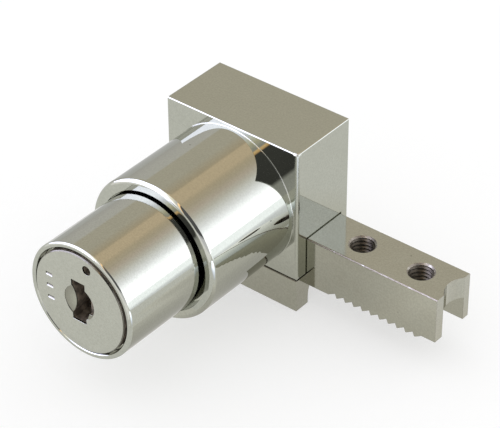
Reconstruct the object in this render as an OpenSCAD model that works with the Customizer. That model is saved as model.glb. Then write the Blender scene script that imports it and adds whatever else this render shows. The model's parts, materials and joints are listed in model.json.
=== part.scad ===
// Push lock for a glass cabinet door.
// A toothed channel clamps the door's edge and carries a square housing with a round barrel.
// Pushing the plunger throws the bolt out of the housing's back. Turning the key moves a latch
// that holds the plunger in, or lets the return spring push it out again.
//
// Frame: X runs along the channel, Y goes into the cabinet, Z is up. The origin is on the face
// that the glass edge seats against, midway across the glass and under the barrel's axis.
// Lengths are in millimetres. The plunger is drawn out and the keyway upright.

/* [Clamp channel] */
// Width of the slot that takes the glass
glass_gap = 5.6; // [4.5:0.1:8]
// Thickness of the front flange, which carries the teeth
front_flange_t = 1.8; // [1.2:0.1:3]
// Thickness of the rear flange
rear_flange_t = 1.4; // [1:0.1:3]
// Thickness of the web above the glass
web_t = 4; // [3:0.1:6]
// Depth of the front flange below the glass seat, to the tooth tips
front_drop = 4.9; // [3.5:0.1:8]
// Depth of the rear flange below the glass seat
rear_drop = 4.2; // [3:0.1:8]
// Length of channel beyond the housing
bar_len = 25; // [22:0.5:60]
// How far the web's end is cut back between the flanges
web_cut = 1.1; // [0.4:0.1:2]
// Small radius on the channel's long edges
channel_edge_r = 0.25; // [0.1:0.05:0.6]

/* [Teeth] */
// Number of teeth cut in the front flange
tooth_count = 10; // [4:1:12]
// Distance from tooth to tooth
tooth_pitch = 1.67; // [1:0.01:1.7]
// Depth of the teeth
tooth_h = 0.75; // [0.3:0.05:1.5]
// Flat left on each tooth tip
tooth_tip = 0.15; // [0.05:0.05:0.4]
// Run of each tooth's steep side
tooth_rise = 0.3; // [0.1:0.05:0.5]
// Distance from the housing to the first notch
tooth_start = 4.4; // [1:0.1:6]

/* [Threaded holes] */
// Thread diameter of the two clamp screw holes
clamp_thread_d = 4; // [3:0.5:5]
// Distance from the housing to the first hole
clamp_hole_x = 7.7; // [5:0.1:9]
// Distance between the two holes
clamp_hole_pitch = 11.2; // [8:0.1:14]
// Width of the chamfer at the mouth of each hole
clamp_chamfer = 0.28; // [0.1:0.02:0.5]

/* [Foot] */
// Height of the foot below the seam
foot_h = 6.1; // [4:0.05:10]
// Thickness of the foot
foot_t = 2.95; // [2:0.05:4]

/* [Housing] */
// Width of the housing block
housing_w = 26.1; // [26:0.1:36]
// Depth of the housing block
housing_d = 13; // [12:0.1:18]
// Height of the housing block above the seam
housing_h = 24.1; // [23.9:0.1:32]
// Radius on the block's edges
housing_edge_r = 0.2; // [0.1:0.05:1]
// How far the channel's front face stands behind the block's front face
channel_setback = 2.45; // [2.4:0.05:3.5]
// How far the channel's top stands above the seam
channel_rise = 6.9; // [6.6:0.1:7.2]
// Height of the barrel's axis above the seam
axis_h = 11.3; // [11.2:0.1:13]
// Small step round the channel where it leaves the block
seam_step = 0.2; // [0.05:0.05:0.3]

/* [Barrel] */
// Outside diameter of the barrel
barrel_d = 24.4; // [23.8:0.1:26]
// Length of the barrel in front of the block
barrel_l = 19.3; // [18:0.1:30]
// Radius on the barrel's front edge
barrel_edge_r = 0.8; // [0.1:0.05:1.2]
// Diameter of the lead-in at the mouth of the bore
mouth_d = 20.9; // [20.8:0.1:22]
// Depth of the lead-in
mouth_l = 1.6; // [0.5:0.1:3]
// How far the lead-in stands off the axis, towards +X
mouth_shift = 0.25; // [0:0.05:0.25]

/* [Plunger] */
// Outside diameter of the plunger
plunger_d = 20; // [19.4:0.1:20.2]
// How far the key face stands in front of the barrel
plunger_out = 16.3; // [12:0.1:20]
// How far the plunger is pushed in
plunger_travel = 7; // [4:0.5:7.5]
// Bore of the plunger sleeve
sleeve_bore_d = 18.22; // [18:0.02:18.6]
// Radius on the plunger's front rim
rim_r = 0.42; // [0.1:0.02:0.45]
// Width of the small chamfer inside the rim
rim_chamfer = 0.12; // [0.05:0.01:0.2]
// Length of the sleeve's skirt behind the end cap
skirt_l = 4; // [3.5:0.1:6]

/* [Cylinder] */
// Thickness of the end cap
cap_t = 2; // [1.5:0.1:3]
// Diameter of the pins that hold the cylinder in the sleeve
core_pin_d = 1.6; // [1:0.1:2]
// Length of the pins that hold the cylinder in the sleeve
core_pin_l = 2.6; // [2:0.1:2.8]
// Thread diameter of the end cap's screws
cap_screw_d = 2; // [1.6:0.1:2.2]
// Length of the end cap's screws
cap_screw_l = 4.3; // [3.5:0.1:4.4]
// Distance of the end cap's screws from the axis
cap_screw_r = 6.4; // [6:0.1:6.6]

/* [Key plug] */
// Diameter of the face that turns with the key
face_d = 17.54; // [17:0.02:17.8]
// Thickness of the face
face_t = 1.6; // [1.2:0.1:2.2]
// How far the face stands in front of the plunger's rim
face_proud = 0.25; // [0:0.05:0.5]
// Width of the chamfer on the face
face_chamfer = 0.15; // [0.1:0.05:0.5]
// Diameter of the plug behind the face
plug_d = 12; // [11.6:0.1:12.4]
// Length of the plug behind the face
plug_l = 15.8; // [15:0.1:18]
// Turn from key upright to plunger held, in degrees
key_turn = 90; // [60:5:120]
// Width of the keyway
keyway_w = 2.7; // [2:0.1:3]
// Height of the keyway
keyway_h = 7.4; // [6:0.05:7.5]
// Depth of the keyway from the face
keyway_l = 16; // [14:0.1:16.2]
// Diameter of the round recess in the middle of the face
recess_d = 5.9; // [5.4:0.1:6.4]
// Depth of the round recess
recess_t = 0.08; // [0.05:0.01:0.3]
// Diameter of the small service hole in the face
service_d = 1.6; // [1:0.1:1.8]

/* [Wafers] */
// Number of wafers
wafer_count = 6; // [3:1:6]
// Distance from wafer to wafer
wafer_pitch = 2.2; // [1.8:0.05:2.2]
// Thickness of a wafer
wafer_t = 0.9; // [0.6:0.05:1]
// Width of a wafer
wafer_w = 5.6; // [5:0.1:5.8]
// How far a wafer springs out of the plug
wafer_travel = 0.6; // [0.3:0.05:0.7]
// Wall between the keyway and a wafer's window
wafer_window_gap = 0.25; // [0.15:0.05:0.4]

/* [Latch] */
// Width of the latch
latch_w = 4.4; // [3:0.1:5]
// Thickness of the latch
latch_t = 2.5; // [1.5:0.1:3]
// How far the latch stands out when it holds
latch_throw = 1.2; // [0.6:0.1:1.3]
// Diameter of the latch's follower pin
follower_d = 1.6; // [1.2:0.1:1.7]
// Distance of the follower from the axis, latch drawn in
follower_r = 3; // [2.9:0.05:3.3]
// Diameter of the cam behind the plug
cam_d = 11.8; // [11.4:0.1:12]
// Thickness of the cam
cam_t = 3; // [2.8:0.1:4]
// Depth of the cam's scroll groove
groove_t = 1.75; // [1.4:0.05:1.8]
// Thread diameter of the cam screw
cam_screw_d = 2; // [1.6:0.1:2.2]
// Length of the cam screw
cam_screw_l = 4.1; // [3.4:0.1:4.2]

/* [Bolt and spring] */
// Diameter of the locking bolt
bolt_d = 5; // [4:0.1:5.4]
// Diameter of the bolt's flange
bolt_flange_d = 8; // [7:0.1:9]
// Thickness of the bolt's flange
bolt_flange_t = 1; // [0.6:0.1:1.4]
// How far the drawn bolt's tip lies inside the block's back face
bolt_inset = 0.5; // [0:0.1:2]
// Outside diameter of the bolt's bush
bush_d = 7.4; // [6.8:0.1:7.6]
// Length of the bolt's bush
bush_l = 9; // [6:0.5:10]
// Wire diameter of the return spring
spring_wire = 0.75; // [0.5:0.05:0.8]
// Mean diameter of the return spring
spring_d = 13; // [11:0.1:14]
// Turns of the return spring
spring_turns = 4; // [3:0.5:4]
// Thickness of the spring's seat washer
washer_t = 0.8; // [0.5:0.1:1]

/* [Screws] */
// Thread diameter of the screws that hold the housing
housing_screw_d = 3; // [2:0.5:3]
// Length of the screws that hold the housing
housing_screw_l = 9; // [7:0.5:12]
// Distance of each housing screw from the barrel's axis
housing_screw_x = 8.5; // [7:0.1:9.5]
// Thread diameter of the travel screw
travel_screw_d = 3; // [2.5:0.5:3]
// Diameter of the travel screw's plain point
travel_dog_d = 2.3; // [1.8:0.1:2.4]

/* [Fits] */
// Radial clearance of a shaft that turns or slides in its hole
running_gap = 0.05; // [0.02:0.01:0.1]
// Clearance of pieces that are fixed to each other
fixed_gap = 0.02; // [0.01:0.01:0.05]
// Side clearance of a flat piece that slides in its slot
slide_gap = 0.1; // [0.05:0.01:0.2]
// Gap at the seam between housing and foot
seam_gap = 0.15; // [0.05:0.01:0.2]
// Clearance behind the plunger when it is fully in
end_gap = 0.3; // [0.1:0.05:0.5]

/* [Hidden] */
$fn = 96;
small_fn = 32;
cut = 1;                                  // overshoot of a cutting tool past a face
sink = 0.1;                               // how far a pin or screw stays below the skin round it

// Channel, in the part's frame
channel_front = -(glass_gap / 2 + front_flange_t);
channel_back = glass_gap / 2 + rear_flange_t;
channel_mid = (channel_front + channel_back) / 2;
channel_end = housing_w / 2 + bar_len;
tip_z = -front_drop;
root_z = tip_z + tooth_h;

// Housing, in the part's frame
housing_front = channel_front - channel_setback;
housing_back = housing_front + housing_d;
seam_z = web_t - channel_rise;
housing_top = seam_z + housing_h;
axis_z = seam_z + axis_h;
foot_low = seam_z - seam_gap - foot_h;
foot_curve = 0.5;                         // share of the foot's height that its inner curve takes
housing_bore_r = plunger_d / 2 + running_gap;
bolt_way_r = bolt_d / 2 + 0.15;           // the bolt is guided by its bush alone

// Stations along the barrel, measured from the housing's front face
face_y = -(barrel_l + plunger_out);
rim_y = face_y + face_proud;
head_back = face_y + face_t;
body_front = head_back + running_gap;
plug_end = head_back + plug_l;
cam_front = plug_end + fixed_gap;
cam_back = cam_front + cam_t;
chamber_front = cam_back + slide_gap;
latch_front = chamber_front + slide_gap / 2;
latch_back = latch_front + latch_t;
body_back = latch_back + slide_gap / 2;
cap_back = body_back + cap_t;
sleeve_back = cap_back + skirt_l;
bore_end = sleeve_back + plunger_travel + end_gap;
washer_front = bore_end - washer_t;

// Cylinder and latch
body_r = sleeve_bore_d / 2 - fixed_gap;
plug_bore_r = plug_d / 2 + running_gap;
latch_top = plunger_d / 2 - running_gap;
latch_low = -follower_r;
tenon = [8, 1, 3];                        // size of the tongue that drives the cam
core_pin_y = (plug_end + chamber_front) / 2;
core_pin_out = plunger_d / 2 - sink;
spigot_r = bolt_d * 0.4;                  // the bolt's end that is pressed into the end cap
bolt_chamfer = 0.8;
coil_steps = 18;                          // steps of the return spring in a turn
coil_sides = 8;

// Travel screw
dog_r = travel_dog_d / 2;
dog_tip = body_r - 0.7;                   // how near the axis the travel screw's point reaches
dog_slot_r = dog_tip - 2 * slide_gap;
travel_land = 1.2;                        // sleeve left behind the travel slot
travel_y = sleeve_back - travel_land - dog_r - slide_gap;

// Wafers
wafer_lead = 2.2;                         // plug in front of the first wafer
wafer_front = head_back + wafer_lead;
wafer_run = (wafer_count - 1) * wafer_pitch + wafer_t;
wafer_half_h = plug_d / 2 - 0.05;
wafer_top_gap = 0.3;                      // room above a wafer that has sprung out
lug_w = 1.4;                              // lug on which a wafer's spring pushes
lug_h = 1;
lug_z = 0.3;
lug_root = 0.5;
wafer_spring_r = 0.55;
wafer_spring_t = 0.2;
wafer_spring_l = 3.2;

// Screw heads and recesses, as shares of the thread's diameter
flat_head_h = 0.45;
flat_head_r = 0.92;
slot_share = [1.3, 0.22, 0.24];           // length, width and depth of a plain slot
cross_share = [0.9, 0.2, 0.27];           // the same of each arm of a cross recess
hex_r = 0.29;
hex_t = 0.27;

// Places on the key face, as [x, z] from the axis
service_at = [1.8, 6.8];
tick_at = [[-5.95, 2.5], [-5.9, 0.4], [-5.8, -1.8]];
tick_size = [1.3, 0.62];
tick_t = 0.15;
service_l = 0.8;                          // depth of the service hole behind the face
keyway_left = -1.45;
keyway_up = 0.1;                          // height of its middle above the axis
keyway_right = keyway_left + keyway_w;
ward_r = 4.2;                             // curve of the ward on the keyway's left side
ward_out = 3.35;                          // distance of its centre outside the keyway
scoop_t = 1.2;                            // depth of the scoop at the keyway's mouth
scoop_wall = 0.1;                         // ring of the recess left round the scoop
scoop_in = 0.4;
scoop_low = [[recess_d, -1.3], [keyway_right + 0.65, -1.3], [keyway_right + 0.35, -2.1],
             [keyway_right, -3.3]];

// Outlines drawn in X and Z, made solid between two Y stations
module slab_y(y0, y1) translate([0, y1, 0]) rotate([90, 0, 0]) linear_extrude(y1 - y0) children();

// Outlines drawn in Y and Z, made solid between two X stations
module slab_x(x0, x1) translate([x0, 0, 0]) rotate([90, 0, 90]) linear_extrude(x1 - x0) children();

// Outlines drawn as radius and Y, turned about the Y axis
module turned() rotate([-90, 0, 0]) rotate_extrude() children();

// Round bar along Y
module rod_y(y0, y1, r) translate([0, y0, 0]) rotate([-90, 0, 0]) cylinder(h = y1 - y0, r = r);

// Round bar along Z
module rod_z(z0, z1, r) translate([0, 0, z0]) cylinder(h = z1 - z0, r = r);

// Moves a piece drawn about the barrel's axis to its place
module at_barrel() translate([0, housing_front, axis_z]) children();

// Rectangle between two corners with round corners
module soft_rect(a, b, r) {
    translate([a[0] + r, a[1]]) square([b[0] - a[0] - 2 * r, b[1] - a[1]]);
    translate([a[0], a[1] + r]) square([b[0] - a[0], b[1] - a[1] - 2 * r]);
    for (x = [a[0] + r, b[0] - r], y = [a[1] + r, b[1] - r])
        translate([x, y]) circle(r = r, $fn = small_fn);
}

// Block between two corners with all its edges rounded
module soft_block(a, b, r) {
    intersection() {
        slab_y(a[1], b[1]) soft_rect([a[0], a[2]], [b[0], b[2]], r);
        slab_x(a[0], b[0]) soft_rect([a[1], a[2]], [b[1], b[2]], r);
        translate([0, 0, a[2]]) linear_extrude(b[2] - a[2])
            soft_rect([a[0], a[1]], [b[0], b[1]], r);
    }
}

// Countersunk screw along -Z, head up at z = 0
module flat_screw(d, l) {
    h = d * flat_head_h;
    rod_z(-l, 0, d / 2);
    translate([0, 0, -h]) cylinder(h = h, r1 = d / 2, r2 = d * flat_head_r);
}

// Room for the same screw
module flat_screw_hole(d, l, gap) {
    h = d * flat_head_h + gap;
    rim = d * flat_head_r + gap;
    rod_z(-l - gap, cut, d / 2 + gap);
    translate([0, 0, -h]) cylinder(h = h, r1 = d / 2 + gap, r2 = rim);
    rod_z(0, cut, rim);
}

// Slot in a screw head, from its length, width and depth
module driver_slot(size) translate([-size[0] / 2, -size[1] / 2, -size[2]])
    cube([size[0], size[1], size[2] + cut]);

// Lower edge of the front flange: saw teeth with their steep sides towards the housing
module tooth_edge() {
    x0 = housing_w / 2 + tooth_start;
    notches = [for (i = [1 : tooth_count]) each [
        [x0 + i * tooth_pitch - tooth_rise, root_z],
        [x0 + i * tooth_pitch, tip_z],
        [x0 + i * tooth_pitch + tooth_tip, tip_z]]];
    last = x0 + (tooth_count + 1) * tooth_pitch - tooth_rise;
    polygon(concat([[x0, tip_z]], notches,
        [[last, root_z], [channel_end + cut, root_z], [channel_end + cut, tip_z - cut], [x0, tip_z - cut]]));
}

// Section of the channel across its length
module channel_section() {
    r = channel_edge_r;
    difference() {
        translate([channel_front, -max(front_drop, rear_drop)])
            square([channel_back - channel_front, web_t + max(front_drop, rear_drop)]);
        translate([-glass_gap / 2, -max(front_drop, rear_drop) - cut])
            square([glass_gap, max(front_drop, rear_drop) + cut]);
        translate([-glass_gap / 2, -front_drop - cut]) mirror([1, 0])
            square([front_flange_t + cut, cut]);
        translate([glass_gap / 2, -rear_drop]) mirror([0, 1])
            square([rear_flange_t + cut, max(front_drop, rear_drop) + cut]);
        for (side = [0, 1])
            translate([side ? channel_back : channel_front, web_t]) mirror([side, 0]) difference() {
                translate([-cut, -r]) square([r + cut, r + cut]);
                translate([r, -r]) circle(r = r, $fn = small_fn);
            }
    }
}

// Section of the foot, with the curve that joins it to the front flange
module foot_section() {
    back = housing_front + foot_t;
    top = seam_z - seam_gap;
    inner = -glass_gap / 2;
    run = inner - back;
    drop = foot_h * foot_curve;
    curve = [for (a = [0 : 15 : 90]) [back + run * (1 - sin(a)), tip_z - drop * (1 - cos(a))]];
    soft_rect([housing_front, foot_low], [back, top], housing_edge_r);
    translate([channel_front, tip_z]) square([back - channel_front, top - tip_z]);
    polygon(concat(curve, [[back - cut, tip_z - drop], [back - cut, tip_z + cut], [inner, tip_z + cut]]));
}

module clamp_channel() {
    half_w = housing_w / 2;
    cut_r = pow(glass_gap / 2, 2) / (2 * web_cut) + web_cut / 2;
    color("silver") difference() {
        union() {
            slab_x(-half_w, channel_end) channel_section();
            intersection() {
                slab_x(-half_w, half_w) foot_section();
                slab_y(housing_front - cut, channel_back)
                    soft_rect([-half_w, foot_low], [half_w, web_t], housing_edge_r);
                translate([0, 0, foot_low - cut]) linear_extrude(web_t - foot_low + 2 * cut)
                    soft_rect([-half_w, housing_front], [half_w, channel_back], housing_edge_r);
            }
        }
        slab_y(channel_front - cut, -glass_gap / 2 + cut / 2) tooth_edge();
        translate([channel_end - web_cut + cut_r, 0, -cut])
            rod_z(0, web_t + 2 * cut, cut_r);
        for (i = [0, 1])
            translate([half_w + clamp_hole_x + i * clamp_hole_pitch, channel_mid, 0]) {
                rod_z(-cut, web_t + cut, clamp_thread_d / 2);
                translate([0, 0, web_t - clamp_chamfer])
                    cylinder(h = clamp_chamfer + cut, r1 = clamp_thread_d / 2,
                             r2 = clamp_thread_d / 2 + clamp_chamfer + cut);
            }
        for (x = [-housing_screw_x, housing_screw_x])
            translate([x, 0, 0]) mirror([0, 0, 1])
                flat_screw_hole(housing_screw_d, web_t + cut, fixed_gap);
    }
}

// Section of the notch that takes the channel, open below, with its clearances in Y and above
module channel_notch(side_gap, top_gap) {
    translate([channel_front - side_gap, seam_z - cut])
        square([channel_back - channel_front + 2 * side_gap, web_t - seam_z + cut + top_gap]);
}

module lock_housing() {
    half_w = housing_w / 2;
    color("lightgray") difference() {
        union() {
            soft_block([-half_w, housing_front, seam_z], [half_w, housing_back, housing_top],
                       housing_edge_r);
            at_barrel() turned() difference() {
                union() {
                    translate([0, -barrel_l]) square([barrel_d / 2, barrel_l]);
                    square([axis_h - cut, cut]);
                }
                translate([barrel_d / 2, -barrel_l]) mirror([1, 0]) difference() {
                    translate([-cut, -cut]) square([barrel_edge_r + cut, barrel_edge_r + cut]);
                    translate([barrel_edge_r, barrel_edge_r]) circle(r = barrel_edge_r, $fn = small_fn);
                }
            }
        }
        slab_x(-half_w - cut, half_w + cut) channel_notch(fixed_gap, 0);
        for (side = [0, 1]) mirror([side, 0, 0])
            slab_x(half_w - seam_step, half_w + cut) channel_notch(seam_step, seam_step);
        at_barrel() {
            rod_y(-barrel_l - cut, bore_end, housing_bore_r);
            translate([mouth_shift, 0, 0]) rod_y(-barrel_l - cut, -barrel_l + mouth_l, mouth_d / 2);
            rod_y(bore_end - cut, housing_d + cut, bolt_way_r);
            rod_y(housing_d - bush_l, housing_d + cut, bush_d / 2 + fixed_gap);
            for (push = [0, plunger_travel])
                translate([-latch_w / 2 - slide_gap, latch_front - slide_gap + push, 0])
                    cube([latch_w + 2 * slide_gap, latch_t + 2 * slide_gap,
                          latch_top + latch_throw + slide_gap]);
            translate([0, travel_y, 0]) rod_z(-barrel_d / 2 - cut, 0, travel_screw_d / 2 + fixed_gap);
        }
        for (x = [-housing_screw_x, housing_screw_x])
            translate([x, 0, 0]) rod_z(0, housing_screw_l + fixed_gap, housing_screw_d / 2 + fixed_gap);
    }
}

module housing_screws() {
    color("dimgray") for (x = [-housing_screw_x, housing_screw_x])
        translate([x, 0, 0]) mirror([0, 0, 1]) difference() {
            flat_screw(housing_screw_d, housing_screw_l);
            for (a = [0, 90]) rotate(a) driver_slot(housing_screw_d * cross_share);
        }
}

module bolt_bush() {
    color("peru") at_barrel() difference() {
        rod_y(housing_d - bush_l, housing_d, bush_d / 2);
        rod_y(housing_d - bush_l - cut, housing_d + cut, bolt_d / 2 + running_gap);
    }
}

module spring_washer() {
    color("gray") at_barrel() difference() {
        rod_y(washer_front, bore_end, sleeve_bore_d / 2 - slide_gap);
        rod_y(washer_front - cut, bore_end + cut, bolt_way_r);
    }
}

module travel_screw() {
    outer = barrel_d / 2 - sink;
    shank = housing_bore_r + fixed_gap;
    d = travel_screw_d;
    color("dimgray") at_barrel() translate([0, travel_y, 0]) difference() {
        union() {
            rod_z(-outer, -shank, d / 2);
            rod_z(-shank - cut / 2, -dog_tip, dog_r);
        }
        translate([0, 0, -outer - cut]) cylinder(h = cut + d * hex_t, r = d * hex_r, $fn = 6);
    }
}

// One unbroken coil between the end cap and the washer, with a polygon wire section
module coil(y0, y1, mean_r, wire_r, turns, per_turn, sides) {
    steps = ceil(turns * per_turn);
    rise = y1 - y0 - 2 * wire_r;
    ring = [for (i = [0 : steps], k = [0 : sides - 1])
        let (a = 360 * turns * i / steps, b = 360 * k / sides, r = mean_r + wire_r * cos(b))
        [r * sin(a), y0 + wire_r + rise * i / steps + wire_r * sin(b), r * cos(a)]];
    side = [for (i = [0 : steps - 1], k = [0 : sides - 1])
        let (p = i * sides + k, q = i * sides + (k + 1) % sides)
        each [[p, q, q + sides], [p, q + sides, p + sides]]];
    ends = [for (k = [1 : sides - 2]) each [[0, k + 1, k],
        [steps * sides, steps * sides + k, steps * sides + k + 1]]];
    polyhedron(points = ring, faces = concat(side, ends), convexity = 8);
}

module return_spring() {
    color("slategray") at_barrel()
        coil(cap_back, washer_front, spring_d / 2, spring_wire / 2, spring_turns, coil_steps, coil_sides);
}

// Slot for the travel screw's point, as the plunger slides past it
module travel_slot(depth_r) {
    for (y = [travel_y - plunger_travel, travel_y])
        translate([0, y, 0]) rod_z(-plunger_d, -depth_r, dog_r + slide_gap);
    translate([-dog_r - slide_gap, travel_y - plunger_travel, -plunger_d])
        cube([2 * (dog_r + slide_gap), plunger_travel, plunger_d - depth_r]);
}

// Room for the latch, from its foot up through the sleeve
module latch_room(y0, y1) {
    translate([-latch_w / 2 - slide_gap / 2, y0, latch_low - slide_gap])
        cube([latch_w + slide_gap, y1 - y0, plunger_d]);
}

module plunger_sleeve() {
    color("gainsboro") at_barrel() difference() {
        turned() difference() {
            translate([sleeve_bore_d / 2, rim_y])
                square([plunger_d / 2 - sleeve_bore_d / 2, sleeve_back - rim_y]);
            translate([plunger_d / 2, rim_y]) mirror([1, 0]) difference() {
                translate([-cut, -cut]) square([rim_r + cut, rim_r + cut]);
                translate([rim_r, rim_r]) circle(r = rim_r, $fn = small_fn);
            }
            translate([sleeve_bore_d / 2, rim_y])
                polygon([[-cut, -cut], [rim_chamfer + cut, -cut], [-cut, rim_chamfer + cut]]);
        }
        travel_slot(0);
        latch_room(chamber_front, body_back);
        for (s = [-1, 1]) translate([0, core_pin_y, 0])
            rotate([0, s * 90, 0]) rod_z(0, plunger_d, core_pin_d / 2 + fixed_gap);
    }
}

module cylinder_body() {
    pin_in = core_pin_out - core_pin_l;
    wafer_room = [wafer_w + 2 * slide_gap, wafer_run + 4 * slide_gap,
                  plug_d / 2 + wafer_travel + wafer_top_gap];
    color("darkkhaki") at_barrel() difference() {
        rod_y(body_front, body_back, body_r);
        rod_y(body_front - cut, chamber_front, plug_bore_r);
        latch_room(chamber_front - fixed_gap, body_back + cut);
        travel_slot(dog_slot_r);
        for (turn = [0, key_turn]) rotate([0, turn, 0])
            translate([-wafer_room[0] / 2, wafer_front - 2 * slide_gap, 0]) cube(wafer_room);
        for (s = [-1, 1]) translate([0, core_pin_y, 0])
            rotate([0, s * 90, 0]) rod_z(pin_in - fixed_gap, plunger_d, core_pin_d / 2 + fixed_gap);
        for (s = [-1, 1]) translate([s * cap_screw_r, body_back, 0])
            rotate([90, 0, 0]) rod_z(-cut, cap_screw_l - cap_t + fixed_gap, cap_screw_d / 2 + fixed_gap);
        translate([service_at[0], 0, service_at[1]])
            rod_y(body_front - cut, body_front + service_l, service_d / 2);
    }
}

module core_pins() {
    color("dimgray") at_barrel() for (s = [-1, 1])
        translate([0, core_pin_y, 0]) rotate([0, s * 90, 0])
            rod_z(core_pin_out - core_pin_l, core_pin_out, core_pin_d / 2);
}

module end_cap() {
    color("khaki") at_barrel() difference() {
        rod_y(body_back, cap_back, body_r);
        rod_y(body_back - cut, cap_back + cut, spigot_r + fixed_gap);
        travel_slot(dog_slot_r);
        for (s = [-1, 1]) translate([s * cap_screw_r, cap_back, 0]) rotate([-90, 0, 0])
            flat_screw_hole(cap_screw_d, cap_t + cut, fixed_gap);
    }
}

module cap_screws() {
    color("dimgray") at_barrel() for (s = [-1, 1])
        translate([s * cap_screw_r, cap_back, 0]) rotate([-90, 0, 0]) difference() {
            flat_screw(cap_screw_d, cap_screw_l);
            driver_slot(cap_screw_d * slot_share);
        }
}

module locking_bolt() {
    tip = housing_d - bolt_inset;
    color("silver") at_barrel() {
        rod_y(body_back, cap_back, spigot_r);
        rod_y(cap_back, cap_back + bolt_flange_t, bolt_flange_d / 2);
        rod_y(cap_back, tip - bolt_chamfer, bolt_d / 2);
        translate([0, tip - bolt_chamfer, 0]) rotate([-90, 0, 0])
            cylinder(h = bolt_chamfer, r1 = bolt_d / 2, r2 = bolt_d / 2 - bolt_chamfer);
    }
}

// Keyway that runs the plug's length, with the ward that bulges in from the left
module keyway_outline() {
    translate([keyway_left, keyway_up]) difference() {
        translate([0, -keyway_h / 2]) square([keyway_w, keyway_h]);
        translate([-ward_out, 0]) circle(r = ward_r, $fn = 64);
    }
}

// Wider scoop at the keyway's mouth, inside the round recess
module scoop_outline() {
    inner = keyway_right - scoop_in;
    intersection() {
        circle(r = recess_d / 2 - scoop_wall);
        polygon(concat([[inner, recess_d / 2], [recess_d, recess_d / 2]], scoop_low,
            [[inner, scoop_low[3][1]]]));
    }
}

// Tick mark along X, a shallow V cut into a face at y = 0
module tick_mark() {
    lip = tick_size[1] / 2 * (1 + cut / tick_t);
    slab_x(-tick_size[0] / 2, tick_size[0] / 2) polygon([[-cut, lip], [-cut, -lip], [tick_t, 0]]);
}

module key_plug() {
    color("beige") at_barrel() difference() {
        union() {
            rod_y(face_y + face_chamfer, head_back, face_d / 2);
            translate([0, face_y, 0]) rotate([-90, 0, 0])
                cylinder(h = face_chamfer, r1 = face_d / 2 - face_chamfer, r2 = face_d / 2);
            rod_y(head_back - cut / 2, plug_end, plug_d / 2);
            translate([-tenon[0] / 2, plug_end - cut / 2, -tenon[2] / 2])
                cube([tenon[0], cut / 2 + tenon[1], tenon[2]]);
        }
        rod_y(face_y - cut, face_y + recess_t, recess_d / 2);
        slab_y(face_y - cut, face_y + keyway_l) keyway_outline();
        slab_y(face_y - cut, face_y + scoop_t) scoop_outline();
        translate([service_at[0], 0, service_at[1]]) rod_y(face_y - cut, head_back + cut, service_d / 2);
        for (p = tick_at) translate([p[0], face_y, p[1]]) tick_mark();
        rod_y(cam_back - cam_screw_l - fixed_gap, cam_back, cam_screw_d / 2 + fixed_gap);
        for (i = [0 : wafer_count - 1]) translate([0, wafer_front + i * wafer_pitch, 0]) {
            translate([-wafer_w / 2 - slide_gap / 2, -slide_gap / 2, -plug_d])
                cube([wafer_w + slide_gap, wafer_t + slide_gap, 2 * plug_d]);
            translate([wafer_w / 2 - cut, -slide_gap / 2, lug_z - wafer_spring_l])
                cube([lug_w + cut + slide_gap, wafer_t + slide_gap,
                      wafer_spring_l + lug_h + wafer_travel + slide_gap]);
            translate([(wafer_w + lug_w) / 2, wafer_t / 2, 0])
                rod_z(lug_z - wafer_spring_l - slide_gap, lug_z, wafer_spring_r + slide_gap / 2);
        }
    }
}

module latch_cam() {
    groove_r = follower_d / 2 + slide_gap / 2;
    steps = 23;
    path = [for (i = [-1 : steps + 1]) let (t = i / steps)
        [follower_r + latch_throw * t, -key_turn * t]];
    inner = [for (p = path) (p[0] - groove_r) * [sin(p[1]), cos(p[1])]];
    outer = [for (i = [steps + 2 : -1 : 0]) let (p = path[i]) (p[0] + groove_r) * [sin(p[1]), cos(p[1])]];
    color("goldenrod") at_barrel() difference() {
        rod_y(cam_front, cam_back, cam_d / 2);
        slab_y(cam_back - groove_t, cam_back + cut) {
            polygon(concat(inner, outer));
            for (p = [path[1], path[steps + 1]])
                translate(p[0] * [sin(p[1]), cos(p[1])]) circle(r = groove_r, $fn = 48);
        }
        translate([-tenon[0] / 2 - fixed_gap, cam_front - cut, -tenon[2] / 2 - fixed_gap])
            cube([tenon[0] + 2 * fixed_gap, cut + tenon[1], tenon[2] + 2 * fixed_gap]);
        translate([0, cam_back, 0]) rotate([-90, 0, 0])
            flat_screw_hole(cam_screw_d, cam_t + cut, fixed_gap);
    }
}

module cam_screw() {
    color("dimgray") at_barrel() translate([0, cam_back, 0]) rotate([-90, 0, 0]) difference() {
        flat_screw(cam_screw_d, cam_screw_l);
        driver_slot(cam_screw_d * slot_share);
    }
}

module wafers() {
    window = [keyway_w + 2 * wafer_window_gap, keyway_h + 2 * wafer_window_gap];
    color("gold") at_barrel() for (i = [0 : wafer_count - 1])
        translate([0, wafer_front + i * wafer_pitch, 0]) difference() {
            slab_y(0, wafer_t) {
                intersection() {
                    circle(r = wafer_half_h);
                    translate([-wafer_w / 2, -plug_d]) square([wafer_w, 2 * plug_d]);
                }
                translate([wafer_w / 2 - lug_root, lug_z]) square([lug_w + lug_root, lug_h]);
            }
            slab_y(-cut, wafer_t + cut)
                translate([keyway_left - wafer_window_gap, -window[1] / 2]) square(window);
        }
}

module wafer_springs() {
    low = lug_z - wafer_spring_l;
    color("lightsteelblue") at_barrel() for (i = [0 : wafer_count - 1])
        translate([(wafer_w + lug_w) / 2, wafer_front + i * wafer_pitch + wafer_t / 2, 0])
            difference() {
                rod_z(low, lug_z, wafer_spring_r);
                rod_z(low - cut, lug_z + cut, wafer_spring_r - wafer_spring_t);
            }
}

module latch() {
    color("tan") at_barrel() difference() {
        intersection() {
            rod_y(latch_front, latch_back, latch_top);
            translate([-latch_w / 2, latch_front - cut, latch_low])
                cube([latch_w, latch_t + 2 * cut, plunger_d]);
        }
        translate([0, 0, follower_r])
            rod_y(latch_front - cut, latch_back + cut, follower_d / 2 + fixed_gap);
    }
}

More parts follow.
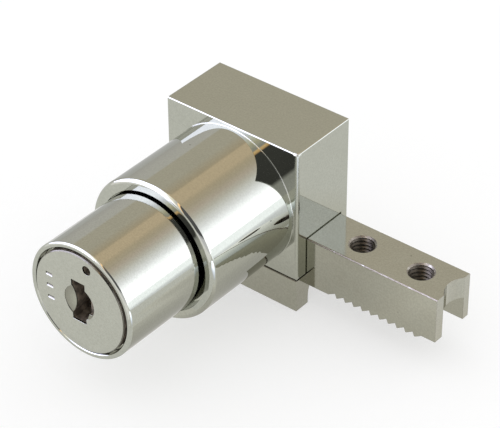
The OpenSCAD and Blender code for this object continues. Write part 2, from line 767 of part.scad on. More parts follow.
module latch_follower() {
    color("dimgray") at_barrel() translate([0, 0, follower_r])
        rod_y(cam_back - groove_t + slide_gap, latch_back, follower_d / 2);
}

clamp_channel();
lock_housing();
housing_screws();
bolt_bush();
spring_washer();
travel_screw();
return_spring();
plunger_sleeve();
cylinder_body();
core_pins();
end_cap();
cap_screws();
locking_bolt();
key_plug();
latch_cam();
cam_screw();
wafers();
wafer_springs();
latch();
latch_follower();
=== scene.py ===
import json
import math

import bmesh
import bpy
from mathutils import Matrix, Vector


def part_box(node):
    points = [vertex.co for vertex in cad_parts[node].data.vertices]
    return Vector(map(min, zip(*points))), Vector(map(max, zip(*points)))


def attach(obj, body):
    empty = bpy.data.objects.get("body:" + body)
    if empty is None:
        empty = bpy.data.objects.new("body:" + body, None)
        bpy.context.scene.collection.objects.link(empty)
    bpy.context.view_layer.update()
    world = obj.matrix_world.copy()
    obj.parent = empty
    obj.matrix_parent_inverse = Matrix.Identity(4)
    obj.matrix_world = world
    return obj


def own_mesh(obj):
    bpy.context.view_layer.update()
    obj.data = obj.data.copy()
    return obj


MM = 0.001

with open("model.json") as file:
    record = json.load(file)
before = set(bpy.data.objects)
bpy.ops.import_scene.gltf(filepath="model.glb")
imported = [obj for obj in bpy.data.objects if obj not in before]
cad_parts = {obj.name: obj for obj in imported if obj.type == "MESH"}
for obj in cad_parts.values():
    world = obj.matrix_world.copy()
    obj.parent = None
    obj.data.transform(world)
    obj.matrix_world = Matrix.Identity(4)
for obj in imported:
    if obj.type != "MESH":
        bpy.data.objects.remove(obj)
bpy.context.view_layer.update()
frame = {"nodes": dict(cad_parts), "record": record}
scene = bpy.context.scene
scene.view_settings.view_transform = "Standard"

# Places on the lock, in metres, as the CAD model has them
AXIS_Z = 8.4 * MM
FLOOR_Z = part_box("clamp_channel")[0].z
CHANNEL_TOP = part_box("clamp_channel")[1].z
HOLE_X = (20.75 * MM, 31.95 * MM)
HOLE_Y = -0.2 * MM
BLOCK_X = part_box("lock_housing")[1].x
BLOCK_Y = -7.05 * MM
BARREL_R = 12.2 * MM
FACE_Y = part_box("key_plug")[0].y
RECESS_R = 2.95 * MM

# Camera, fitted to the photograph: lens in millimetres, place in metres, and the directions to its
# right and behind it
LENS = 163.03
CAMERA_PLACE = Vector((0.18541, -0.22989, 0.21726))
CAMERA_RIGHT = Vector((0.777, 0.6294, -0.0046))
CAMERA_BACK = Vector((0.5093, -0.6244, 0.5922))


def make_camera():
    data = bpy.data.cameras.new("camera")
    data.lens = LENS
    data.sensor_width = 36
    data.clip_start = 0.01
    data.clip_end = 20
    camera = bpy.data.objects.new("camera", data)
    scene.collection.objects.link(camera)
    z = CAMERA_BACK.normalized()
    y = z.cross(CAMERA_RIGHT.normalized()).normalized()
    x = y.cross(z)
    turn = Matrix((x, y, z)).transposed().to_4x4()
    turn.translation = CAMERA_PLACE
    camera.matrix_world = turn
    scene.camera = camera


make_camera()


# Node helpers. The letter t stands for a node tree

# The Mix node's sockets for its two values and its result, by kind of data
MIX_SOCKETS = {"FLOAT": (2, 3, 0), "VECTOR": (4, 5, 1), "RGBA": (6, 7, 2)}


def times(k, color):
    """A colour made brighter or dimmer."""
    return tuple(k * c for c in color)


def new_material(name):
    m = bpy.data.materials.new(name)
    m.use_nodes = True
    m.node_tree.nodes.clear()
    out = m.node_tree.nodes.new("ShaderNodeOutputMaterial")
    return m, m.node_tree, out


def node(t, kind, **values):
    """A new node with the given inputs and settings."""
    n = t.nodes.new(kind)
    for key, value in values.items():
        if key in n.inputs:
            n.inputs[key].default_value = value
        else:
            setattr(n, key, value)
    return n


def link(t, a, b):
    t.links.new(a, b)


def feed(t, value, socket):
    """Link another node's output to a socket, or set the socket to a plain value."""
    if isinstance(value, bpy.types.NodeSocket):
        link(t, value, socket)
    elif socket.type == "RGBA":
        socket.default_value = (*value, 1)
    else:
        socket.default_value = value


def maths(t, operation, *values):
    """The result of a Math node, whose values are other nodes' outputs or numbers."""
    n = node(t, "ShaderNodeMath", operation=operation)
    for value, socket in zip(values, n.inputs):
        feed(t, value, socket)
    return n.outputs[0]


def vector_maths(t, operation, *values):
    """The result of a Vector Math node, whose values are other nodes' outputs or vectors."""
    n = node(t, "ShaderNodeVectorMath", operation=operation)
    for value, socket in zip(values, n.inputs):
        feed(t, value, socket)
    return n.outputs["Value" if operation in ("DOT_PRODUCT", "LENGTH") else "Vector"]


def mix(t, kind, share, first, second, blend_type="MIX"):
    """The first value, with the second one laid over it as much as the share says."""
    a, b, result = MIX_SOCKETS[kind]
    n = node(t, "ShaderNodeMix", data_type=kind, blend_type=blend_type)
    for value, socket in ((share, n.inputs[0]), (first, n.inputs[a]), (second, n.inputs[b])):
        feed(t, value, socket)
    return n.outputs[result]


def span(t, source, start, end, low=0.0, high=1.0):
    """A value that goes from low to high while the source goes from start to end."""
    n = node(t, "ShaderNodeMapRange")
    for name, value in (("From Min", start), ("From Max", end), ("To Min", low), ("To Max", high)):
        n.inputs[name].default_value = value
    link(t, source, n.inputs["Value"])
    return n.outputs["Result"]


def ramp(t, source, stops):
    """Greys or colours along a source that goes from 0 to 1."""
    n = t.nodes.new("ShaderNodeValToRGB")
    elements = n.color_ramp.elements
    while len(elements) > 1:
        elements.remove(elements[-1])
    elements[0].position = stops[0][0]
    for position, _ in stops[1:]:
        elements.new(position)
    for element, (_, value) in zip(elements, stops):
        c = value if isinstance(value, tuple) else (value, value, value)
        element.color = (*c, 1)
    link(t, source, n.inputs["Fac"])
    return n.outputs["Color"]


def noise(t, place, scale, detail, roughness=0.5):
    n = node(t, "ShaderNodeTexNoise", Scale=scale, Detail=detail, Roughness=roughness)
    link(t, place, n.inputs["Vector"])
    return n.outputs["Fac"]


def mapped(t, place, scale, rotation=(0, 0, 0)):
    """The place, turned and stretched."""
    n = node(t, "ShaderNodeMapping", Scale=scale, Rotation=rotation)
    link(t, place, n.inputs["Vector"])
    return n.outputs["Vector"]


def own_place(t):
    """Where a point is on its object, in metres."""
    return node(t, "ShaderNodeTexCoord").outputs["Object"]


def part(t, vector, axis):
    """A vector's X, Y or Z."""
    n = t.nodes.new("ShaderNodeSeparateXYZ")
    link(t, vector, n.inputs[0])
    return n.outputs[axis]


def lean(t, axis):
    """1 on faces that look along the axis either way, less on slanting ones, 0 on faces beside it."""
    normal = node(t, "ShaderNodeTexCoord").outputs["Normal"]
    return maths(t, "ABSOLUTE", part(t, normal, axis))


def near_edge(t, place, width):
    """1 at sharp edges and on rounded long ones, falling to 0 at the given distance, and ragged."""
    bevel = node(t, "ShaderNodeBevel", Radius=width, samples=8).outputs["Normal"]
    flat = t.nodes.new("ShaderNodeNewGeometry").outputs["True Normal"]
    sharp = ramp(t, vector_maths(t, "DOT_PRODUCT", bevel, flat), [(0.86, 1.0), (0.985, 0.0)])
    rounded = ramp(t, lean(t, "Z"), [(0.08, 0.0), (0.2, 1.0), (0.95, 1.0), (0.99, 0.0)])
    ragged = ramp(t, noise(t, place, 1100.0, 5.0, 0.7), [(0.30, 0.25), (0.47, 1.0)])
    return maths(t, "MULTIPLY", maths(t, "MAXIMUM", sharp, rounded), ragged)


def rolled_normal(t, place, x, y, width):
    """The surface normal, turned softly round the upright edge at x and y as if the edge were rolled."""
    near_x = span(t, part(t, place, "X"), x - 1.2 * width, x - width)
    near_y = span(t, part(t, place, "Y"), y + 1.2 * width, y + width)
    plain = t.nodes.new("ShaderNodeNewGeometry").outputs["Normal"]
    rolled = node(t, "ShaderNodeBevel", Radius=width, samples=12).outputs["Normal"]
    return mix(t, "VECTOR", maths(t, "MULTIPLY", near_x, near_y), plain, rolled)


# Metals

class Metal:
    """A plated or bare metal. Each method adds one trait to its colour, its roughness or its relief.
    A trait lies over those that were added before it."""

    def __init__(self, name, color, tint, roughness, spread, grain, stretch=(1, 1, 1), grazing=1.0):
        """The colour drifts between two tones, and the roughness follows a fine grain. The grazing
        tone dims what the metal reflects at a flat angle."""
        self.material, self.tree, out = new_material(name)
        self.place = own_place(self.tree)
        self.color = color
        self.roughness = roughness
        self.normal = None
        self.shader = node(self.tree, "ShaderNodeBsdfPrincipled", Metallic=1.0)
        self.shader.inputs["Specular Tint"].default_value = (grazing, grazing, grazing, 1)
        link(self.tree, self.shader.outputs["BSDF"], out.inputs["Surface"])
        patches = noise(self.tree, self.place, 140.0, 4.0, 0.6)
        drift = ramp(self.tree, patches, [(0.35, 0.0), (0.7, 1.0)])
        self.paint(mix(self.tree, "RGBA", drift, color, tint))
        self.fine = noise(self.tree, mapped(self.tree, self.place, stretch), grain, 6.0, 0.65)
        self.rough = span(self.tree, self.fine, 0.3, 0.7, max(0.0, roughness - spread), roughness + spread)
        link(self.tree, self.rough, self.shader.inputs["Roughness"])

    def paint(self, shade):
        """Take a new colour."""
        self.shade = shade
        link(self.tree, shade, self.shader.inputs["Base Color"])

    def turn(self, normal):
        """Take a new surface normal."""
        self.normal = normal
        link(self.tree, normal, self.shader.inputs["Normal"])

    def cover(self, mask, color, blend_type="MIX"):
        """Lay a colour over the one so far, as much as the mask says."""
        self.paint(mix(self.tree, "RGBA", mask, self.shade, color, blend_type))

    def bump(self, height, distance):
        """Relief that rises by the distance where the height is 1."""
        n = node(self.tree, "ShaderNodeBump", Strength=1.0, Distance=distance)
        link(self.tree, height, n.inputs["Height"])
        if self.normal:
            link(self.tree, self.normal, n.inputs["Normal"])
        self.turn(n.outputs["Normal"])

    def soft_edges(self, radius):
        """Edges that catch the light as if rounded. They come before any relief."""
        self.turn(node(self.tree, "ShaderNodeBevel", Radius=radius, samples=6).outputs["Normal"])

    def rolled_edge(self, x, y, width):
        """A rolled upright edge at x and y. It comes before any relief."""
        self.turn(rolled_normal(self.tree, self.place, x, y, width))

    def painted_flank_shade(self, axis, tone):
        """Painted shade: a darker tone on the faces that look along the axis."""
        side_shade = ramp(self.tree, lean(self.tree, axis), [(0.6, 0.0), (0.95, 1.0)])
        self.cover(side_shade, tone, "MULTIPLY")

    def wear(self, width, color, roughness):
        """Edges worn to another colour and roughness."""
        rub = near_edge(self.tree, self.place, width)
        self.cover(rub, color)
        rough = mix(self.tree, "FLOAT", rub, self.rough, roughness)
        link(self.tree, rough, self.shader.inputs["Roughness"])

    def specks(self, depth):
        """Tiny specks, darker by up to the given share."""
        dots = noise(self.tree, self.place, 3200.0, 3.0, 0.6)
        tones = ramp(self.tree, dots, [(0.3, 1 - depth), (0.7, 1.0)])
        self.paint(mix(self.tree, "RGBA", 1.0, self.shade, tones, "MULTIPLY"))

    def waves(self, height):
        """A slight waviness of the casting under the plating."""
        self.bump(noise(self.tree, self.place, 90.0, 1.0), height)

    def grains(self, height):
        """Relief of the fine grain."""
        self.bump(self.fine, height)

    def scratches(self, height):
        """Thin polishing marks, all running the same way."""
        along = mapped(self.tree, self.place, (1, 14, 14), (0.3, 0.5, 0.7))
        thin = ramp(self.tree, noise(self.tree, along, 260.0, 3.0, 0.7), [(0.66, 0.0), (0.74, 1.0)])
        self.bump(thin, height)

    def pits(self, share):
        """A small dark pit in the given share of the cells of a cell pattern."""
        t = self.tree
        cells = node(t, "ShaderNodeTexVoronoi", Scale=420.0)
        link(t, self.place, cells.inputs["Vector"])
        parts = t.nodes.new("ShaderNodeSeparateColor")
        link(t, cells.outputs["Color"], parts.inputs["Color"])
        few = ramp(t, parts.outputs["Red"], [(1 - share, 0.0), (1 - share + 0.01, 1.0)])
        dot = ramp(t, cells.outputs["Distance"], [(0.02, 1.0), (0.07, 0.0)])
        mark = maths(t, "MULTIPLY", few, dot)
        self.cover(mark, times(0.35, self.color))
        self.bump(maths(t, "MULTIPLY", mark, -1.0), 0.015 * MM)

    def dull_brown_deeper_in(self, y):
        """Darker, duller and brown behind the given depth, full 0.15 mm further in."""
        t = self.tree
        deep = span(t, part(t, self.place, "Y"), y, y + 0.15 * MM)
        spots = noise(t, self.place, 900.0, 4.0)
        brown_tones = ramp(t, spots, [(0.40, (0.085, 0.066, 0.047)), (0.68, (0.30, 0.245, 0.18))])
        self.paint(mix(t, "RGBA", deep, self.shade, brown_tones))
        link(t, span(t, deep, 0.0, 1.0, 1.0, 0.15), self.shader.inputs["Metallic"])
        link(t, span(t, deep, 0.0, 1.0, self.roughness, 0.6), self.shader.inputs["Roughness"])


CHROME_TONES = ((0.464, 0.474, 0.409), (0.452, 0.462, 0.397))
# Painted shade on the key face: on its chamfer and in what is sunk below it
FACE_SHADE_TONE = (0.16, 0.15, 0.12)


def chrome():
    """Mirror chrome of block and barrel. The upright edge at the right of the block's front is rolled."""
    m = Metal("chrome_plate", *CHROME_TONES, 0.03, 0.012, grain=700, grazing=0.82)
    m.rolled_edge(BLOCK_X, BLOCK_Y, 0.8 * MM)
    m.specks(0.12)
    m.waves(0.003 * MM)
    m.scratches(0.0002 * MM)
    m.pits(0.03)
    return m.material


def soft_chrome():
    """The plunger's chrome, a little softer."""
    m = Metal("plunger_chrome", *CHROME_TONES, 0.085, 0.02, grain=900, grazing=0.82)
    m.specks(0.12)
    m.waves(0.003 * MM)
    m.grains(0.0004 * MM)
    m.scratches(0.0003 * MM)
    m.pits(0.03)
    return m.material


def bright_nickel():
    """The channel's nickel: grain along the channel, painted shade on the side faces, and worn edges."""
    m = Metal("bright_nickel", (0.462, 0.467, 0.403), (0.446, 0.446, 0.380), 0.10, 0.03, grain=1500,
              stretch=(0.25, 1, 1))
    m.soft_edges(0.08 * MM)
    # Painted shade: the faces that look along X and along Y are a little darker
    m.painted_flank_shade("X", (0.95, 0.93, 0.91))
    m.painted_flank_shade("Y", (0.96, 0.95, 0.92))
    m.wear(0.16 * MM, (0.30, 0.275, 0.225), 0.5)
    m.specks(0.14)
    m.waves(0.004 * MM)
    m.grains(0.0012 * MM)
    m.pits(0.10)
    return m.material


def key_face():
    """The key face: duller round recess, painted shade on chamfer and sunk marks, dull brown deep in the
    keyway.
    """
    m = Metal("key_face", (0.474, 0.480, 0.411), (0.452, 0.458, 0.391), 0.16, 0.03, grain=2400)
    m.soft_edges(0.06 * MM)
    t = m.tree
    from_axis = vector_maths(t, "SUBTRACT", m.place, (0, 0, AXIS_Z))
    radius = vector_maths(t, "LENGTH", vector_maths(t, "MULTIPLY", from_axis, (1, 0, 1)))
    recess = span(t, radius, RECESS_R, RECESS_R - 0.06 * MM)
    m.cover(recess, (0.87, 0.87, 0.81), "MULTIPLY")
    # Painted shade: the chamfer round the face is dark
    chamfer = ramp(t, lean(t, "Y"), [(0.50, 0.0), (0.60, 1.0), (0.82, 1.0), (0.92, 0.0)])
    m.cover(chamfer, times(0.8, FACE_SHADE_TONE))
    # Painted shade: what is sunk below the face is darker, most of all where the ticks are
    sunk = span(t, part(t, m.place, "Y"), FACE_Y + 0.03 * MM, FACE_Y + 0.09 * MM)
    reach = 12 * MM
    stops = [(0.0, 0.0), (3.9, 1.0), (7.8, 0.875), (11.7, 0.0)]
    ring = ramp(t, maths(t, "DIVIDE", radius, reach), [(r * MM / reach, much) for r, much in stops])
    m.cover(maths(t, "MULTIPLY", ring, sunk), FACE_SHADE_TONE)
    m.specks(0.12)
    m.grains(0.001 * MM)
    m.pits(0.06)
    # Darker, dull brown deeper in the keyway
    m.dull_brown_deeper_in(FACE_Y + 0.2 * MM)
    return m.material


def bare_metal(name, color, tint, roughness, spread, grain, relief, edge=0.0):
    """An inner piece's metal, with grain alone, and with soft edges where a radius is given."""
    m = Metal(name, color, tint, roughness, spread, grain)
    if edge:
        m.soft_edges(edge)
    m.grains(relief)
    return m.material


CHROME = chrome()
SOFT_CHROME = soft_chrome()
NICKEL = bright_nickel()
FACE = key_face()
BRASS = bare_metal("brass", (0.62, 0.46, 0.19), (0.52, 0.36, 0.14), 0.28, 0.07, 1200, 0.003 * MM)
STEEL = bare_metal("steel", (0.50, 0.50, 0.50), (0.42, 0.42, 0.43), 0.25, 0.06, 1500, 0.003 * MM,
                   edge=0.08 * MM)
SPRING = bare_metal("spring_steel", (0.30, 0.31, 0.33), (0.22, 0.22, 0.24), 0.30, 0.08, 2000, 0.003 * MM)
# Bare cut thread, darker than the bare metal is: painted shade inside the clamp holes
SHADED_THREAD = bare_metal("cut_thread_painted_shade", (0.13, 0.115, 0.09), (0.05, 0.045, 0.035), 0.40, 0.10, 1800, 0.004 * MM)

SLOTS = {"chrome_plate": CHROME, "satin_nickel": NICKEL, "key_face": FACE, "brass": BRASS,
         "steel": STEEL, "spring_steel": SPRING}


def dress(o, material):
    """Give a CAD node its material."""
    if not o.material_slots:
        o.data.materials.append(material)
    for slot in o.material_slots:
        slot.material = material


for row in frame["record"]["subparts"]:
    dress(frame["nodes"][row["node"]], SLOTS[row["material_slot"]])
dress(frame["nodes"]["plunger_sleeve"], SOFT_CHROME)


# Return spring: it gets a mesh of its own

def squash_spring():
    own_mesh(frame["nodes"]["return_spring"])


squash_spring()


# Meshes

def mesh_of(name, bm):
    """A mesh with the faces that were built."""
    mesh = bpy.data.meshes.new(name)
    bm.to_mesh(mesh)
    bm.free()
    return mesh


def add_object(name, mesh):
    o = bpy.data.objects.new(name, mesh)
    scene.collection.objects.link(o)
    return o


def flat_mesh(name, corners):
    """A single face."""
    bm = bmesh.new()
    bm.faces.new([bm.verts.new(corner) for corner in corners])
    return mesh_of(name, bm)


# Threads in the two clamp holes

def ring(bm, x, y, z, radii):
    """A ring of points about an upright axis, each at its own radius."""
    points = []
    for i, r in enumerate(radii):
        a = 2 * math.pi * i / len(radii)
        points.append(bm.verts.new((x + r * math.cos(a), y + r * math.sin(a), z)))
    return points


def thread(name, x, y):
    """The cut wall of an M4 thread: a helical ridge on a round wall, faded out at both ends."""
    wall, root, crest = 2.04 * MM, 1.97 * MM, 1.68 * MM
    low, high = 0.05 * MM, CHANNEL_TOP - 0.3 * MM
    pitch = 0.7 * MM
    fade_in, fade_out = 0.5 * pitch, 0.6 * pitch
    # Half the ridge's width as a share of the pitch, and how far its point would pass the crest
    half_ridge = 0.42
    sharpness = 1.25
    around, up = 72, 84
    bm = bmesh.new()
    rows = []
    for k in range(up + 1):
        z = low + (high - low) * k / up
        fade = min(1, (z - low) / fade_in, (high - z) / fade_out)
        radii = []
        for i in range(around):
            turn = (z / pitch - i / around) % 1
            ridge = max(0, 1 - abs(turn - 0.5) / half_ridge)
            radii.append(root + (crest - root) * min(1, sharpness * ridge) * fade)
        rows.append(ring(bm, x, y, z, radii))
    bottom, top = (ring(bm, x, y, z, [wall] * around) for z in (low, high))
    rings = [bottom, *rows, top, bottom]
    for a, b in zip(rings, rings[1:]):
        for i in range(around):
            j = (i + 1) % around
            bm.faces.new((a[i], a[j], b[j], b[i]))
    bmesh.ops.recalc_face_normals(bm, faces=bm.faces)
    mesh = mesh_of(name, bm)
    mesh.materials.append(SHADED_THREAD)
    o = add_object(name, mesh)
    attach(o, "clamp")


for number, x in enumerate(HOLE_X, 1):
    thread(f"thread_{number}", x, HOLE_Y)


# Hollow fillet at the root of the barrel

def fillet_section(size, sunk, steps):
    """Radii and depths of the fillet's section: first its hollow arc, then its back inside the casting."""
    section = []
    for k in range(steps + 1):
        a = math.radians(90 * k / steps)
        section.append((BARREL_R + size * (1 - math.cos(a)), BLOCK_Y - size * (1 - math.sin(a))))
    section.append((BARREL_R + size, BLOCK_Y + sunk))
    section.append((BARREL_R - sunk, BLOCK_Y + sunk))
    section.append((BARREL_R - sunk, BLOCK_Y - size))
    return section


def root_fillet():
    """The small fillet of the casting where the barrel meets the block. It ends above the foot."""
    sweep = math.radians(154)
    around, steps = 180, 6
    section = fillet_section(0.12 * MM, 0.05 * MM, steps)
    bm = bmesh.new()
    rows = []
    for i in range(around + 1):
        a = sweep * (2 * i / around - 1)
        rows.append([bm.verts.new((r * math.sin(a), y, AXIS_Z + r * math.cos(a))) for r, y in section])
    for a, b in zip(rows, rows[1:]):
        for i in range(len(section)):
            j = (i + 1) % len(section)
            bm.faces.new((a[i], a[j], b[j], b[i])).smooth = i < steps
    bm.faces.new(rows[0])
    bm.faces.new(rows[-1])
    bmesh.ops.recalc_face_normals(bm, faces=bm.faces)
    mesh = mesh_of("root_fillet", bm)
    mesh.materials.append(CHROME)
    o = add_object("root_fillet", mesh)
    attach(o, "clamp")


root_fillet()


# White surroundings: the world and the floor

FLOOR_R = 1.5
FLOOR_GAP = 0.05 * MM
FLOOR_TONE = 0.52
FLOOR_GLOW = 0.52


def seen_ray(t):
    """1 for a ray from the camera, off metal or through glass, which then meets the white background."""
    path = t.nodes.new("ShaderNodeLightPath").outputs
    shiny = maths(t, "MAXIMUM", path["Is Camera Ray"], path["Is Glossy Ray"])
    return maths(t, "MAXIMUM", shiny, path["Is Transmission Ray"])


def by_ray(t, out, plain, seen):
    """Show the seen shader to the camera, to metal and to glass, and the plain one to all other rays."""
    n = t.nodes.new("ShaderNodeMixShader")
    link(t, seen_ray(t), n.inputs["Fac"])
    link(t, plain.outputs[0], n.inputs[1])
    link(t, seen.outputs[0], n.inputs[2])
    link(t, n.outputs[0], out.inputs["Surface"])


def make_world():
    world = bpy.data.worlds.new("studio")
    scene.world = world
    world.use_nodes = True
    t = world.node_tree
    t.nodes.clear()
    out = t.nodes.new("ShaderNodeOutputWorld")
    plain = node(t, "ShaderNodeBackground", Color=(1, 1, 1, 1), Strength=0.95)
    white = node(t, "ShaderNodeBackground", Color=(1, 1, 1, 1), Strength=1.0)
    by_ray(t, out, plain, white)


def make_floor():
    """A matt floor just under the lock. The glow adds up to white and keeps the lock's shadow."""
    bm = bmesh.new()
    bmesh.ops.create_circle(bm, cap_ends=True, segments=96, radius=FLOOR_R)
    floor = add_object("floor", mesh_of("floor", bm))
    floor.location.z = FLOOR_Z - FLOOR_GAP
    m, t, out = new_material("floor")
    paper = node(t, "ShaderNodeBsdfDiffuse", Color=(FLOOR_TONE, FLOOR_TONE, FLOOR_TONE, 1))
    glow = node(t, "ShaderNodeEmission", Color=(1, 1, 1, 1), Strength=FLOOR_GLOW)
    both = t.nodes.new("ShaderNodeAddShader")
    link(t, paper.outputs[0], both.inputs[0])
    link(t, glow.outputs[0], both.inputs[1])
    by_ray(t, out, paper, both)
    floor.data.materials.append(m)


# Studio cards: a tent round the lock, and pieces of floor near it, one of them a painted shadow

WALL, CEILING, BATTEN = (1.0, 0.97, 0.96), (0.745, 0.69, 0.60), (0.95, 0.765, 0.56)
SHADE, COOL, NEUTRAL = (0.80, 0.665, 0.50), (0.97, 0.98, 1.34), (1.0, 0.99, 1.10)
# Tint of the painted shadow near the lock
SHADOW_TINT = (1.0, 0.98, 0.94)

# The tent in metres: its radius, and where its front half starts, meets the back half, and ends
TENT_R = 0.9
TENT_YS = (-2.6, -0.03, 1.6)
CARD_LIFT = 0.1 * MM

# Light by the angle about Y, in degrees from straight up towards +X.
# Behind and above: a pale wall, a dim warm ceiling, a tan batten, and a soft rise to a bright window
BACK = [(-128, times(0.58, WALL)), (-110, times(0.63, WALL)), (-90, times(0.72, WALL)),
        (-75, times(0.80, WALL)), (-57, times(0.82, WALL)), (-54, CEILING), (-25, CEILING),
        (-9, (0.725, 0.605, 0.455)), (-6, BATTEN), (9, BATTEN), (15, SHADE), (22, (0.775, 0.665, 0.53)),
        (30, (0.86, 0.745, 0.66)), (38, (0.965, 0.91, 0.86)), (46, (1.2, 1.19, 1.23)),
        (55, (1.54, 1.55, 1.71)), (63, (2.05, 2.08, 2.35)), (72, (2.7, 2.72, 3.05)),
        (95, (3.0, 3.0, 3.4))]

# On the camera's side: a bright window on the left, a warm lamp, a dark card where the camera stands,
# and a plain wall
FRONT = [(-116, times(1.0, COOL)), (-110, times(2.4, COOL)), (-101, times(3.9, COOL)),
         (-45, times(4.4, COOL)), (-30, times(3.8, COOL)), (-20, times(2.9, COOL)),
         (-10, times(2.3, NEUTRAL)), (0, (1.75, 1.62, 1.40)), (10, times(1.0, NEUTRAL)),
         (12.5, (2.6, 1.75, 1.0)), (15.5, (1.9, 1.2, 0.65)), (17, times(0.17, NEUTRAL)),
         (65, times(0.15, NEUTRAL)), (71, times(1.0, NEUTRAL)), (95, times(1.15, NEUTRAL))]

# Floor to the right of the lock, which grows brighter towards the window: light by X in millimetres
FAR_RIGHT = [(44, (1.04, 1.06, 1.10)), (62, (1.12, 1.16, 1.25)), (80, (1.25, 1.29, 1.43)),
             (99, (1.62, 1.68, 1.86)), (110, (1.95, 2.03, 2.25))]
NEAR_RIGHT = [(36, (1.0, 1.02, 1.18)), (45, (1.5, 1.6, 1.95)), (52, (1.92, 2.05, 2.53)),
              (72, (3.2, 3.36, 4.0))]


def shadow_tones(tones, clear):
    """Painted shadow: light by the distance in millimetres, dim close by, and full where it is clear."""
    return [(far, times(k, SHADOW_TINT)) for far, k in tones] + [(clear, (1, 1, 1))]


# Painted shadow on the floor under the lock: two corners of a rectangle in millimetres, and the light
# by the distance from it. No light changes beyond the reach
CONTACT_REACH = 30
UNDER_FOOT = ((-13, -7), (13, 4), shadow_tones([(0, 0.64), (4, 0.67), (8, 0.71), (12, 0.80), (17, 0.94)], 26))
UNDER_CHANNEL = ((13, -5), (30, 4), shadow_tones([(0, 0.80), (5, 0.80), (9, 0.86), (12, 0.98)], 17))
UNDER_PLUNGER = ((9, -36), (14, -21), shadow_tones([(0, 0.70), (4, 0.74), (8, 0.84), (12, 0.96)], 16))


def card(name, mesh, light):
    """A studio card: the metal reflects it, and nothing else sees it. Its heights count from the
    barrel's axis, and the light is a function that sets its glow."""
    m, t, out = new_material(name)
    glow = node(t, "ShaderNodeEmission")
    link(t, glow.outputs["Emission"], out.inputs["Surface"])
    light(t, glow)
    mesh.materials.append(m)
    o = add_object(name, mesh)
    o.location.z = AXIS_Z
    o.visible_camera = False
    o.visible_diffuse = False
    o.visible_shadow = False


def floor_card(name, corners, light, lift=CARD_LIFT):
    """A card on the floor, with corners in millimetres."""
    z = FLOOR_Z + lift - AXIS_Z
    card(name, flat_mesh(name, [(x * MM, y * MM, z) for x, y in corners]), light)


def plain_light(color):
    """The same light from the whole card."""
    def light(t, glow):
        full = max(color)
        glow.inputs["Color"].default_value = (*times(1 / full, color), 1)
        glow.inputs["Strength"].default_value = full
    return light


def graded_light(t, glow, source, start, end, stops):
    """Light along a source that goes from start to end while the stops go from first to last."""
    full = max(max(color) for _, color in stops)
    first, last = stops[0][0], stops[-1][0]
    shares = [((at - first) / (last - first), times(1 / full, color)) for at, color in stops]
    link(t, ramp(t, span(t, source, start, end), shares), glow.inputs["Color"])
    glow.inputs["Strength"].default_value = full


def tent_light(stops):
    """Light that changes with the angle about Y only. The stops are angles in degrees and colours."""
    def light(t, glow):
        place = own_place(t)
        angle = maths(t, "ARCTAN2", part(t, place, "X"), part(t, place, "Z"))
        graded_light(t, glow, angle, math.radians(stops[0][0]), math.radians(stops[-1][0]), stops)
    return light


def rising_light(stops):
    """Light that changes with X only. The stops are places in millimetres and colours."""
    def light(t, glow):
        graded_light(t, glow, part(t, own_place(t), "X"), stops[0][0] * MM, stops[-1][0] * MM, stops)
    return light


def tent(name, stops, ys, count):
    """Part of a tube about the barrel's axis, as wide as the stops' angles and with their light."""
    first, last = stops[0][0], stops[-1][0]
    bm = bmesh.new()
    rows = []
    for i in range(count + 1):
        a = math.radians(first + (last - first) * i / count)
        rows.append([bm.verts.new((TENT_R * math.sin(a), y, TENT_R * math.cos(a))) for y in ys])
    for a, b in zip(rows, rows[1:]):
        bm.faces.new((a[0], b[0], b[1], a[1]))
    card(name, mesh_of(name, bm), tent_light(stops))


def box_distance(t, place, low, high):
    """Distance on the floor from a rectangle, given by two corners in millimetres."""
    middle = [(a + b) / 2 * MM for a, b in zip(low, high)]
    half = [(b - a) / 2 * MM for a, b in zip(low, high)]
    from_middle = vector_maths(t, "SUBTRACT", place, (*middle, 0))
    # A half size of 1 in Z takes the height out of the distance
    past = vector_maths(t, "SUBTRACT", vector_maths(t, "ABSOLUTE", from_middle), (*half, 1))
    return vector_maths(t, "LENGTH", vector_maths(t, "MAXIMUM", past, (0, 0, 0)))


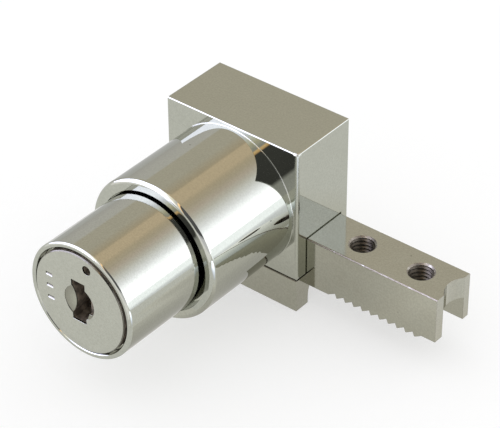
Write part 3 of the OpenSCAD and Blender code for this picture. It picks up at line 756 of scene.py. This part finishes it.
def contact_shadow_light(t, glow):
    """Painted shadow: the floor close to the lock, dimmer than the rest, the darkest of the tones under
    foot, channel and plunger."""
    place = own_place(t)
    tones = []
    for low, high, stops in (UNDER_FOOT, UNDER_CHANNEL, UNDER_PLUNGER):
        share = maths(t, "MULTIPLY", box_distance(t, place, low, high), 1 / (CONTACT_REACH * MM))
        tones.append(ramp(t, share, [(far / CONTACT_REACH, tone) for far, tone in stops]))
    foot, channel, plunger = tones
    least = vector_maths(t, "MINIMUM", vector_maths(t, "MINIMUM", foot, channel), plunger)
    link(t, least, glow.inputs["Color"])


def corner_card():
    """Meets the light that the channel's top and the block's right side pass on between them."""
    corner = Vector((15.5 * MM, 1.5 * MM, 6.5 * MM - AXIS_Z))
    way = Vector((0.48, 0.64, 0.60)).normalized()
    middle = corner + way * 150 * MM
    right = way.cross(Vector((0, 0, 1))).normalized()
    up = right.cross(way)
    sides = [(-13, -11), (9.5, -11), (9.5, 9), (-13, 9)]
    mesh = flat_mesh("corner_card", [middle + right * (a * MM) + up * (b * MM) for a, b in sides])
    card("corner_card", mesh, plain_light((1.76, 1.80, 2.10)))


def make_cards():
    tent("tent_back", BACK, TENT_YS[1:], 111)
    tent("tent_front", FRONT, TENT_YS[:2], 105)
    floor_card("low_card", [(80, 8), (1200, 8), (1200, 1300), (44, 1300), (44, 24)],
               rising_light(FAR_RIGHT))
    floor_card("left_card", [(-45, 10), (-45, 1300), (-1200, 1300), (-1200, 10)],
               plain_light((0.76, 0.76, 0.76)))
    # Painted shadow: a dim card on the floor round the lock, which only the metal sees
    floor_card("contact_shadow_card", [(-42, -36), (62, -36), (62, 32), (-42, 32)], contact_shadow_light,
               lift=-0.02 * MM)
    floor_card("front_card", [(-1200, -75), (-1200, -1300), (1200, -1300), (1200, -75)],
               plain_light((1.38, 1.36, 1.42)))
    floor_card("side_card", [(36, -60), (120, -60), (120, -12), (56, -12), (44, -18), (36, -25)],
               rising_light(NEAR_RIGHT))
    corner_card()


make_world()
make_floor()
make_cards()
